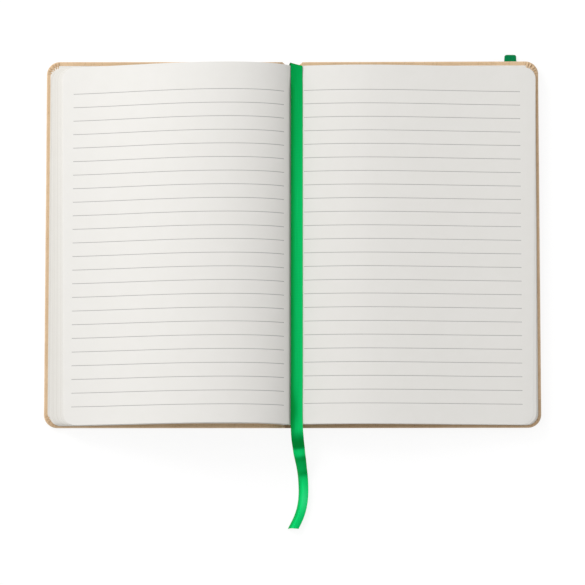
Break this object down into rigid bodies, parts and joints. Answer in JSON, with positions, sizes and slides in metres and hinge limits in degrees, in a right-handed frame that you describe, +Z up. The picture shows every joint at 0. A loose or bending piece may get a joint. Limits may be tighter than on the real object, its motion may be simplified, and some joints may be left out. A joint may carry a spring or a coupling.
{
  "type": "hardcover ruled notebook",
  "caption": "Kraft-paper hardcover ruled notebook lying open near its middle, with arched leaves, a green ribbon marker down the gutter and a green elastic band round the back cover",
  "frame": {"origin": "middle of the spine's underside, on the surface that the open notebook lies on", "axes": "+X towards the back cover's fore edge, +Y towards the head of the pages, +Z up"},
  "size_m": [0.2806, 0.2717, 0.0272],
  "materials": {
    "leaves": "uncoated off-white writing paper, ruled",
    "endpaper": "uncoated off-white endpaper",
    "kraft_paper": "natural brown kraft paper with visible fibres",
    "greyboard": "grey binder's board",
    "mull": "open-weave glued cotton cloth",
    "ribbon": "green satin ribbon",
    "elastic": "woven green elastic"
  },
  "bodies": {
    "book_block": {"page_block": "leaves", "spine_lining": "mull", "spine_strip": "greyboard", "spine_paper": "kraft_paper", "ribbon_marker": "ribbon"},
    "front_cover": {"front_board": "greyboard", "front_cover_paper": "kraft_paper", "front_endpaper": "endpaper"},
    "back_cover": {"back_board": "greyboard", "back_cover_paper": "kraft_paper", "back_endpaper": "endpaper", "elastic_band": "elastic"}
  },
  "joints": [
    {"name": "front_cover_hinge", "type": "hinge", "parent": "book_block", "child": "front_cover", "pos_m": [-0.0047, 0, 0.00015], "axis": [0, -1, 0], "range_deg": [0, 90]},
    {"name": "back_cover_hinge", "type": "hinge", "parent": "book_block", "child": "back_cover", "pos_m": [0.0047, 0, 0.00015], "axis": [0, 1, 0], "range_deg": [0, 90]}
  ]
}
